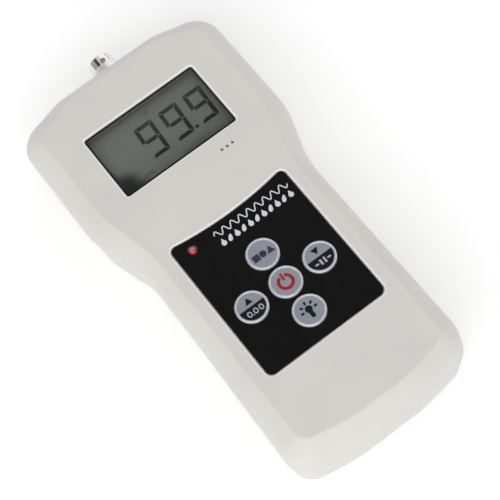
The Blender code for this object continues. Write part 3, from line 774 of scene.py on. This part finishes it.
# ======== keypad ========
def keypad_film(look):
    _, low, high = middle_of("keypad_overlay")
    rings = eased(lambda inwards: keypad_outline(-inwards), low.z, high.z, 0.12)
    film = mesh_object("keypad_film", loft(rings), look)
    carve(film, key_holes(FACE_Z - 2, FACE_Z + 2))
    finish_shading(film)
    mount_piece(film, "case", "keypad_overlay", slot="black_film")


def wave_train(left, right, steps=150):
    """Outline of a drawn sine wave, of an even width."""
    upper, lower = [], []
    for step in range(steps + 1):
        share = step / steps
        x = left + (right - left) * share
        angle = math.tau * WAVE_COUNT * share
        slope = WAVE_SWING * math.tau * WAVE_COUNT / (right - left) * math.cos(angle)
        length = math.hypot(1, slope)
        y = WAVE_Y + WAVE_SWING * math.sin(angle)
        across, along = WAVE_LINE / 2 / length, slope / length * WAVE_LINE / 2
        upper.append((x - along, y + across))
        lower.append((x + along, y - across))
    return upper + lower[::-1]


def title_marks(look, count=11):
    """Two rows of plain marks above the keys: a wave train, and drops with grains."""
    _, _, high = middle_of("keypad_overlay")
    left, right = TITLE_X
    marks = []
    for index in range(count):
        x = left + 1.2 + (right - left - 2.4) * index / (count - 1)
        marks.append(grain(x, DROPS_Y, 1.35, 0.72) if index % 2 else drop(x, DROPS_Y, 0.95))
    for name, outlines in (("title_marks", marks), ("title_wave", [wave_train(left, right)])):
        mount_piece(printed(name, outlines, high.z, INK_T, look), "case", slot="black_film")


def drop(x, y, radius):
    """Water drop, point up."""
    return arc(x, y - 0.35 * radius, radius, 130, 280, 22) + [(x, y + 1.65 * radius)]


def grain(x, y, half_len, half_wide, steps=24):
    """Leaning seed."""
    points = []
    lean = math.radians(62)
    for step in range(steps):
        angle = math.tau * step / steps
        along = half_len * math.cos(angle)
        across = half_wide * math.sin(angle) * (1 - 0.25 * math.cos(angle))
        points.append((x + along * math.cos(lean) - across * math.sin(lean),
                       y + along * math.sin(lean) + across * math.cos(lean)))
    return points


def strip(start, end, width):
    """Straight bar between two points."""
    a, b = Vector(start), Vector(end)
    side = (b - a).normalized().orthogonal() * width / 2
    return [tuple(a + side), tuple(a - side), tuple(b - side), tuple(b + side)]


def arc(x, y, radius, start, sweep, steps):
    """Points of an arc, angles in degrees."""
    points = []
    for step in range(steps + 1):
        angle = math.radians(start + sweep * step / steps)
        points.append((x + radius * math.cos(angle), y + radius * math.sin(angle)))
    return points


def disc(x, y, radius, steps=28):
    return arc(x, y, radius, 0, 360, steps)[:-1]


def arc_band(x, y, radius, width, start, sweep, steps=48):
    """Part of a ring, angles in degrees."""
    outer = arc(x, y, radius + width / 2, start, sweep, steps)
    return outer + arc(x, y, radius - width / 2, start, sweep, steps)[::-1]


def power_icon(x, y):
    return [arc_band(x, y - 0.1, 2.4, 1.1, 111, 318), strip((x, y + 0.6), (x, y + 3.35), 0.8)]


def light_icon(x, y):
    """Bulb with five rays."""
    bulb = arc(x, y + 0.3, 1.28, -54, 288, 28)
    bulb += [(x - 0.75, y - 1.1), (x - 0.72, y - 2.65), (x - 0.45, y - 3.0), (x + 0.45, y - 3.0),
             (x + 0.72, y - 2.65), (x + 0.75, y - 1.1)]
    shapes = [bulb]
    for angle in (-2, 43, 90, 137, 182):
        way = Vector((math.cos(math.radians(angle)), math.sin(math.radians(angle))))
        centre = Vector((x, y + 0.15))
        shapes.append(strip(centre + way * 1.95, centre + way * 3.1, 0.7))
    return shapes


def function_icon(x, y):
    """Square, disc and triangle: choose a function."""
    foot = y - 1.45
    square = [(x - 3.9, foot), (x - 1.4, foot), (x - 1.4, y + 1.05), (x - 3.9, y + 1.05)]
    triangle = [(x + 1.4, foot), (x + 4.2, foot), (x + 2.8, y + 1.25)]
    return [square, disc(x, y - 0.2, 1.25), triangle]


def segment_below(x, y, radius, level):
    """Part of a disc that lies below a level."""
    reach = math.degrees(math.acos(-level / radius))
    return arc(x, y, radius, -90 - reach, 2 * reach, 40)


def triangle_icon(x, y, way):
    return [[(x - 1.35, y - 1.1 * way), (x + 1.35, y - 1.1 * way), (x, y + 1.25 * way)]]


def zero_mark(x, y):
    """Noughts with a point after the first."""
    return [oval_band(x - 2.15, y), disc(x - 0.95, y - 0.85, 0.24, 12), oval_band(x + 0.25, y),
            oval_band(x + 2.45, y)]


def oval_band(x, y):
    """Nought, cut open at its right so that one outline can draw it."""
    outer, inner = arc(0, 0, 1, 0, 360, 32), arc(0, 0, 1, 360, -360, 32)
    return ([(x + 0.86 * px, y + 1.08 * py) for px, py in outer]
            + [(x + 0.46 * px, y + 0.68 * py) for px, py in inner])


def pause_mark(x, y):
    return [strip((x - 0.75, y - 1.05), (x - 0.75, y + 1.05), 0.75),
            strip((x + 0.75, y - 1.05), (x + 0.75, y + 1.05), 0.75),
            strip((x - 3.1, y), (x - 1.75, y), 0.6), strip((x + 1.75, y), (x + 3.1, y), 0.6)]


def key(name, ring_look, face_look):
    """Cap with a raised silver rim round a slightly sunken face."""
    centre, low, high = middle_of(name)
    top, inner = high.z, KEY_R - KEY_RIM
    ring_profile = [(inner, KEY_FOOT_Z), (inner, top - 0.14), (KEY_R - KEY_RIM * 0.9, top - 0.06),
                    (KEY_R - KEY_RIM * 0.72, top), (KEY_R - KEY_RIM * 0.45, top - 0.03),
                    (KEY_R - KEY_RIM * 0.25, top - 0.1), (KEY_R - 0.1, top - 0.24),
                    (KEY_R - 0.02, top - 0.42), (KEY_R, top - 0.7), (KEY_R, KEY_FOOT_Z)]
    ring = turned(name + "_cap", ring_profile, ring_look, (centre.x, centre.y, 0), angle=40)
    mount_piece(ring, name, name, slot="key_plastic")
    face_r, stem_r, face_foot = inner - 0.01, 2.0, KEY_FOOT_Z + 0.2
    face_profile = [(0, top - 0.06), (face_r * 0.4, top - 0.08), (face_r * 0.8, top - 0.14),
                    (face_r, top - 0.2), (face_r, face_foot), (stem_r, face_foot),
                    (stem_r, low.z), (0, low.z)]
    face = turned(name + "_face", face_profile, face_look, (centre.x, centre.y, 0))
    mount_piece(face, name, slot="key_plastic")
    return centre, top, face_r


def keys(looks):
    """The five keys; their printed signs are listed as (label, outlines, look)."""
    for name in KEYS:
        centre, top, face_r = key(name, looks["ring"], looks["key_face"])
        x, y = centre.x, centre.y
        if name == "function_button":
            signs = [("mark", function_icon(x, y), looks["slate"])]
        elif name == "power_button":
            signs = [("mark", power_icon(x, y), looks["red_ink"])]
        elif name == "light_button":
            signs = [("mark", light_icon(x, y), looks["navy"])]
        else:
            upwards = name == "up_zero_button"
            patch = segment_below(x, y, face_r - 0.12, 0.15)
            figure = zero_mark(x, y - 2.0) if upwards else pause_mark(x, y - 2.0)
            signs = [("mark", triangle_icon(x, y + 2.3, 1 if upwards else -1), looks["navy"]),
                     ("patch", [patch], looks["navy"]), ("figure", figure, looks["silver_ink"])]
        for label, outlines, look in signs:
            # The silver figures stand just over the dark patch, whose upper side is 0.03 down.
            drop_by, thickness = (0.125, 0.12) if label == "figure" else (0.23, 0.2)
            piece = printed(name + "_" + label, outlines, top - drop_by, thickness, look)
            mount_piece(piece, name, slot="key_plastic")


def indicator(look):
    """Domed indicator, wider at its foot, which sits under the film."""
    centre, _, high = middle_of("status_led")
    profile = [(0, high.z)]
    for step in range(1, 13):
        angle = math.radians(90) * step / 12
        profile.append((LED_R * math.sin(angle), high.z - LED_R * (1 - math.cos(angle))))
    foot, ledge = LED_FOOT_Z
    profile += [(LED_R, ledge), (LED_FOOT_R, ledge), (LED_FOOT_R, foot), (0, foot)]
    dome = turned("indicator_dome", profile, look, (centre.x, centre.y, 0), 64)
    mount_piece(dome, "case", "status_led", slot="red_lens")


# ======== display ========
def window_outline(inset_by, centre):
    """Outline of the window's opening, or one drawn inside it."""
    return rounded_box(WINDOW_W - 2 * inset_by, WINDOW_H - 2 * inset_by,
                       max(WINDOW_R - inset_by, 0.4), centre.x, centre.y)


def seven_segments(x, y, width, height, stroke, lit):
    """Mitred bars of one figure, leaning slightly; x, y is its lower left corner."""
    gap = 0.15
    right, top, middle, half = x + width, y + height, y + height / 2, stroke / 2
    left_in, right_in = x + stroke, right - stroke
    bars = {"a": [(x + gap, top), (right - gap, top), (right_in - gap, top - stroke),
                  (left_in + gap, top - stroke)],
            "b": [(right, top - gap), (right, middle + gap), (right - half, middle + gap),
                  (right_in, middle + half + gap), (right_in, top - stroke - gap)],
            "c": [(right, middle - gap), (right, y + gap), (right_in, y + stroke + gap),
                  (right_in, middle - half - gap), (right - half, middle - gap)],
            "d": [(x + gap + 0.4, y), (left_in + gap, y + stroke), (right_in - gap, y + stroke),
                  (right - gap, y)],
            "f": [(x, top - gap), (left_in, top - stroke - gap), (left_in, middle + half + gap),
                  (x + half, middle + gap), (x, middle + gap)],
            "g": [(x + half + gap, middle), (left_in + gap, middle + half),
                  (right_in - gap, middle + half), (right - half - gap, middle),
                  (right_in - gap, middle - half), (left_in + gap, middle - half)]}
    return [[(px + (py - middle) * FIGURE_LEAN, py) for px, py in bars[label]] for label in lit]


def window(look, lens, low, high):
    """Clear window: a raised panel on a flange that is hidden under the cover."""
    flange = rounded_box(*LENS_FLANGE, lens.x, lens.y)
    item = mesh_object("display_window", loft([(flange, low.z), (flange, low.z + LENS_FLANGE_T)]),
                       look)
    rings = []
    for height, inset_by in ((low.z + 0.2, 0), (high.z - 0.15, 0), (high.z - 0.04, 0.06),
                             (high.z, 0.16)):
        rings.append((window_outline(GAP + TRIM_WALL + 0.2 + inset_by, lens), height))
    carve(item, [(ADD, loft(rings))])
    finish_shading(item)
    mount_piece(item, "case", "lcd_lens", slot="clear_plastic")


def window_trim(look, lens, foot_z):
    """Thin frame between the window and the cover, with a wide foot under the cover."""
    _, low, high = middle_of("window_trim")
    wide = window_outline(-1.5, lens)
    rings = [(wide, foot_z), (wide, low.z - 0.02)]
    rings += eased(lambda inwards: window_outline(GAP + inwards, lens), low.z, high.z, 0.1)
    trim = mesh_object("window_trim_ring", loft(rings), look)
    inside = window_outline(GAP + TRIM_WALL, lens)
    carve(trim, [(CUT, loft([(inside, INSIDE_Z), (inside, FACE_Z + 5)]))])
    finish_shading(trim)
    mount_piece(trim, "case", "window_trim", slot="black_plastic")


def display(looks):
    """Window and its frame, display face, its dark surround and the lit figures."""
    lens, lens_low, lens_high = middle_of("lcd_lens")
    window(looks["window"], lens, lens_low, lens_high)
    window_trim(looks["trim"], lens, lens_low.z + LENS_FLANGE_T + 0.02)

    glass = frame_nodes["lcd_glass"]
    glass.data.materials.clear()
    glass.data.materials.append(looks["display"])
    glass_z = middle_of("lcd_glass")[2].z
    outer, inner = rounded_box(*SURROUND, lens.x, lens.y), window_outline(0.05, lens)
    surround = mesh_object("display_surround",
                           loft([(outer, glass_z + 0.02), (outer, glass_z + 0.10)]),
                           looks["black_edge"])
    carve(surround, [(CUT, loft([(inner, INSIDE_Z), (inner, FACE_Z)]))])
    mount_piece(surround, "case", slot="black_plastic")

    figures = []
    for x in FIGURES_X:
        figures += seven_segments(x, FIGURE_Y, *FIGURE_SIZE, FIGURE_STROKE, "abcdfg")
    figures.append(disc(*POINT_AT, POINT_R, 20))
    lit = printed("display_figures", figures, glass_z + 0.01, INK_T, looks["segment"])
    mount_piece(lit, "case", slot="display_glass")


# ======== probe socket ========
def probe_socket(look, lug_painted_reflection_look, collar_look):
    """BNC jack: mouth, barrel with two bayonet lugs, collar, flange and threaded rear."""
    _, low, high = middle_of("bnc_body")
    tip, rear, bore, floor = high.y - FLANGE_Y, low.y - FLANGE_Y, 2.7, 1.2
    profile = [(MOUTH_R, tip - 0.25), (MOUTH_R + 0.25, tip), (BARREL_R - 0.35, tip),
               (BARREL_R - 0.08, tip - 0.12), (BARREL_R, tip - 0.4),
               (BARREL_R, COLLAR_T + 0.04), (BARREL_R + 0.04, COLLAR_T),
               (COLLAR_R - 0.35, COLLAR_T), (COLLAR_R - 0.1, COLLAR_T - 0.08),
               (COLLAR_R, COLLAR_T - 0.3), (COLLAR_R, 1.55), (COLLAR_R + 0.05, 1.5),
               (FLANGE_R - 0.08, 1.42), (FLANGE_R, 1.2), (FLANGE_R, 0.2),
               (FLANGE_R - 0.15, 0), (THREAD_R, 0)]
    for index in range(THREAD_TURNS):
        top = -0.6 - index * THREAD_PITCH
        profile += [(THREAD_R - 0.35, top), (THREAD_R, top - 0.35)]
    profile += [(THREAD_R, rear), (bore, rear), (bore, floor), (MOUTH_R, floor)]
    body = turned("probe_socket_body", profile, look, (SOCKET_X, FLANGE_Y, SOCKET_Z), lying=True)
    lugs = []
    for degrees in LUG_ANGLES:
        out = Vector((math.cos(math.radians(degrees)), 0, math.sin(math.radians(degrees))))
        centre = Vector((SOCKET_X, high.y - LUG_BACK, SOCKET_Z)) + out * LUG_OUT
        lugs.append((ADD, cross_rod(centre, out, LUG_R, LUG_LENGTH, 32)))
    carve(body, lugs)
    body.data.materials.append(lug_painted_reflection_look)
    body.data.materials.append(collar_look)
    for face in body.data.polygons:
        x, y, z = face.center / MM
        out = math.hypot(x - SOCKET_X, z - SOCKET_Z)
        off_lug = math.hypot(x - SOCKET_X, y - high.y + LUG_BACK)
        # Faces of the lugs take the darker metal, a painted dark reflection; the collar takes the
        # satin finish.
        if out > BARREL_R + 0.1 and off_lug < LUG_R + 0.1 and abs(face.normal.y) < 0.99:
            face.material_index = 1
        elif FLANGE_Y < y < FLANGE_Y + COLLAR_T + 0.05 and out > BARREL_R + 0.2:
            face.material_index = 2
    finish_shading(body)
    mount_piece(body, "case", "bnc_body", slot="nickel")


def case_screws(look):
    """Pan head with a cross recess, in each deep hole of the back."""
    seat, head_r, shank_r = LEDGE_Z - GAP, 2.6, 1.2
    slot_long, slot_wide = 1.5, 0.28
    for index in range(4):
        name = "case_screw_%d" % (index + 1)
        centre, low, high = middle_of(name)
        x, y = centre.x, centre.y
        profile = [(0, high.z), (0.9, high.z - 0.5), (shank_r, high.z - 1.2), (shank_r, seat),
                   (2.35, seat), (2.55, seat - 0.08), (head_r, seat - 0.3), (2.55, seat - 1.2),
                   (2.2, seat - 1.8), (1.4, low.z + 0.06), (0, low.z)]
        screw = turned(name + "_detail", profile, look, (x, y, 0), 48)
        slots = []
        for reach_x, reach_y in ((slot_long, slot_wide), (slot_wide, slot_long)):
            slots.append((CUT, box((x - reach_x, y - reach_y, low.z - 1),
                                            (x + reach_x, y + reach_y, low.z + 1.1))))
        carve(screw, slots)
        finish_shading(screw, weighted=False)
        mount_piece(screw, "case", name, slot="zinc_steel")


# ======== the CAD pieces that stay ========
def dress_frame(looks):
    """A finish for each CAD node that is shown as it is."""
    by_slot = {"black_plastic": "black_part", "white_plastic": "white_part",
               "grey_rubber": "rubber", "board_resin": "board", "nickel": "nickel",
               "gold_plate": "gold", "zinc_steel": "zinc", "cell_sleeve": "sleeve",
               "red_sleeve": "red_wire", "black_sleeve": "black_wire"}
    for entry in frame["record"]["subparts"]:
        if entry["material_slot"] in by_slot:
            node = frame_nodes[entry["node"]]
            node.data.materials.clear()
            node.data.materials.append(looks[by_slot[entry["material_slot"]]])


# ======== stage ========
def area_light(name, place, size, power):
    """Soft light that faces the middle of the object."""
    lamp = bpy.data.lights.new(name, "AREA")
    lamp.shape = "RECTANGLE"
    lamp.size, lamp.size_y = size
    lamp.energy = power
    item = bpy.data.objects.new(name, lamp)
    item.location = place
    item.rotation_euler = (-Vector(place)).to_track_quat("-Z", "Y").to_euler()
    bpy.context.scene.collection.objects.link(item)


def studio_world():
    """Even white surroundings with two dark areas above the table.

    The wide one is what the window and the keypad film mirror in the main view, and the
    narrow one gives the socket's barrel its dark streak. Both are bounded by Y, and by a
    slope, which is X over Z.
    """
    world = bpy.data.worlds.new("studio_world")
    world.use_nodes = True
    sky = Nodes(world.node_tree)
    shade = sky.nodes["Background"]
    way = sky.nodes.new("ShaderNodeSeparateXYZ")
    sky.links.new(sky.nodes.new("ShaderNodeTexCoord").outputs["Generated"], way.inputs[0])
    y = way.outputs["Y"]
    slope = sky.math("DIVIDE", way.outputs["X"], sky.math("MAXIMUM", way.outputs["Z"], 0.05))

    def rise(value, start, end):
        return sky.remap(value, 0.0, 1.0, start, end, smooth=True)

    def fall(value, start, end, high=1.0):
        return sky.remap(value, high, 0.0, start, end, smooth=True)

    wide = sky.product(rise(slope, -0.80, -0.62), fall(slope, 0.34, 0.48),
                       rise(y, 0.16, 0.26), fall(y, 0.455, 0.48))
    streak = sky.product(rise(slope, -1.15, -0.95), fall(slope, -0.40, -0.26))
    half_dark = fall(slope, -1.15, -0.95, 0.5)
    narrow = sky.product(sky.math("MAXIMUM", streak, half_dark),
                         rise(y, 0.475, 0.49), fall(y, 0.56, 0.60))
    dark = sky.math("MAXIMUM", sky.product(wide, 0.93), sky.product(narrow, 0.98))
    strength = sky.product(sky.math("SUBTRACT", 1.0, dark), WORLD_STRENGTH)
    sky.links.new(strength, shade.inputs["Strength"])
    shade.inputs["Color"].default_value = (1, 1, 1, 1)
    bpy.context.scene.world = world


def stage():
    """Pale floor just under the object, lights and surroundings."""
    bm = bmesh.new()
    bmesh.ops.create_grid(bm, x_segments=2, y_segments=2, size=2.5)
    bmesh.ops.translate(bm, verts=bm.verts, vec=(0, 0, -0.00005))
    floor = mesh_object("studio_floor", bm, floor_material())
    for name, settings in LIGHTS.items():
        area_light(name, *settings)
    studio_world()
    bpy.context.scene.view_settings.view_transform = "Standard"


def camera():
    lens = bpy.data.cameras.new("camera")
    lens.lens = CAMERA_LENS
    lens.sensor_width = 36.0
    lens.clip_start = 0.01
    item = bpy.data.objects.new("camera", lens)
    item.location = Vector(CAMERA_AT) * MM
    item.rotation_euler = [math.radians(angle) for angle in CAMERA_TURN]
    bpy.context.scene.collection.objects.link(item)
    bpy.context.scene.camera = item


def make_looks():
    """All materials, by the short names that the pieces use."""
    even = (1, 1, 1)
    looks = {
        "case": case_material(),
        "film": film_material(),
        "ring": silver_ring_material(),
        "key_face": key_face_material(),
        "display": display_material(middle_of("lcd_lens")[0]),
        "window": window_material(),
        "trim": trim_material(),
        "indicator": indicator_material(),
        "nickel": metal("nickel_look", linear(234, 231, 225), 0.10, (0.04, 1, 0.04), 2400,
                        0.005, 0.05),
        # Darker metal for the bayonet lugs: a painted dark reflection.
        "stud": metal("lug_painted_reflection_look", linear(158, 157, 152), 0.32, even, 1500, 0.05),
        "satin": metal("satin_nickel_look", linear(242, 241, 237), 0.34, even, 1500, 0.04),
        "gold": metal("gold_look", linear(222, 184, 110), 0.24),
        "zinc": metal("zinc_look", linear(190, 192, 196), 0.30),
    }
    plastics = (
        # Painted highlight: brighter, glossier plastic for the rounded edges of the window and
        # keypad recess.
        ("edge", "painted_highlight_edge_look", (238, 237, 234), (232, 231, 228), 0.36, 2300, 0.08),
        ("door", "door_plastic_look", (211, 209, 204), (206, 204, 200), 0.46, 2300, 0.18),
        ("black_part", "black_part_look", (34, 34, 35), (42, 42, 43), 0.5),
        ("white_part", "white_part_look", (226, 226, 222), (216, 216, 211), 0.4),
        ("rubber", "rubber_look", (92, 92, 94), (76, 76, 78), 0.8),
        ("board", "board_look", (20, 92, 52), (16, 78, 44), 0.38, 1800, 0.12),
        ("sleeve", "cell_sleeve_look", (30, 84, 60), (24, 70, 50), 0.28, 1200, 0.06),
        ("red_wire", "red_wire_look", (170, 28, 30), (150, 24, 26), 0.45),
        ("black_wire", "black_wire_look", (30, 30, 31), (38, 38, 39), 0.45))
    for short, name, colour, shade, *surface in plastics:
        looks[short] = moulded(name, linear(*colour), linear(*shade), *surface)
    inks = (
        ("navy", "navy_ink_look", (10, 13, 20), 0.5),
        ("slate", "slate_ink_look", (44, 52, 72), 0.5),
        ("red_ink", "red_ink_look", (152, 24, 30)),
        ("silver_ink", "silver_ink_look", (158, 162, 168)),
        ("white_ink", "white_ink_look", (196, 198, 201)),
        ("segment", "segment_look", (14, 17, 14), 0.5),
        ("black_edge", "display_edge_look", (30, 31, 29), 0.5))
    for short, name, colour, *roughness in inks:
        looks[short] = ink(name, linear(*colour), *roughness)
    return looks


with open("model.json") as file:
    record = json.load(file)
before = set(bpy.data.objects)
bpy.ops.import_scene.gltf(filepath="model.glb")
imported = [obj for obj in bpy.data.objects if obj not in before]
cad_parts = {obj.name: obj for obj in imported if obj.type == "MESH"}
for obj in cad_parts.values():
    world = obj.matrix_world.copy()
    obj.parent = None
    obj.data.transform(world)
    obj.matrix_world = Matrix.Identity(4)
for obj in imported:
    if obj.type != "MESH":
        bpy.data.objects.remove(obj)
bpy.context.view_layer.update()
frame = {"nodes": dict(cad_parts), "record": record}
frame_nodes = frame["nodes"]
camera()
stage()
looks = make_looks()
dress_frame(looks)
front_cover(looks["case"], looks["edge"])
rear_cover(looks["case"])
battery_door(looks["door"])
keypad_film(looks["film"])
title_marks(looks["white_ink"])
keys(looks)
indicator(looks["indicator"])
display(looks)
probe_socket(looks["nickel"], looks["stud"], looks["satin"])
case_screws(looks["zinc"])
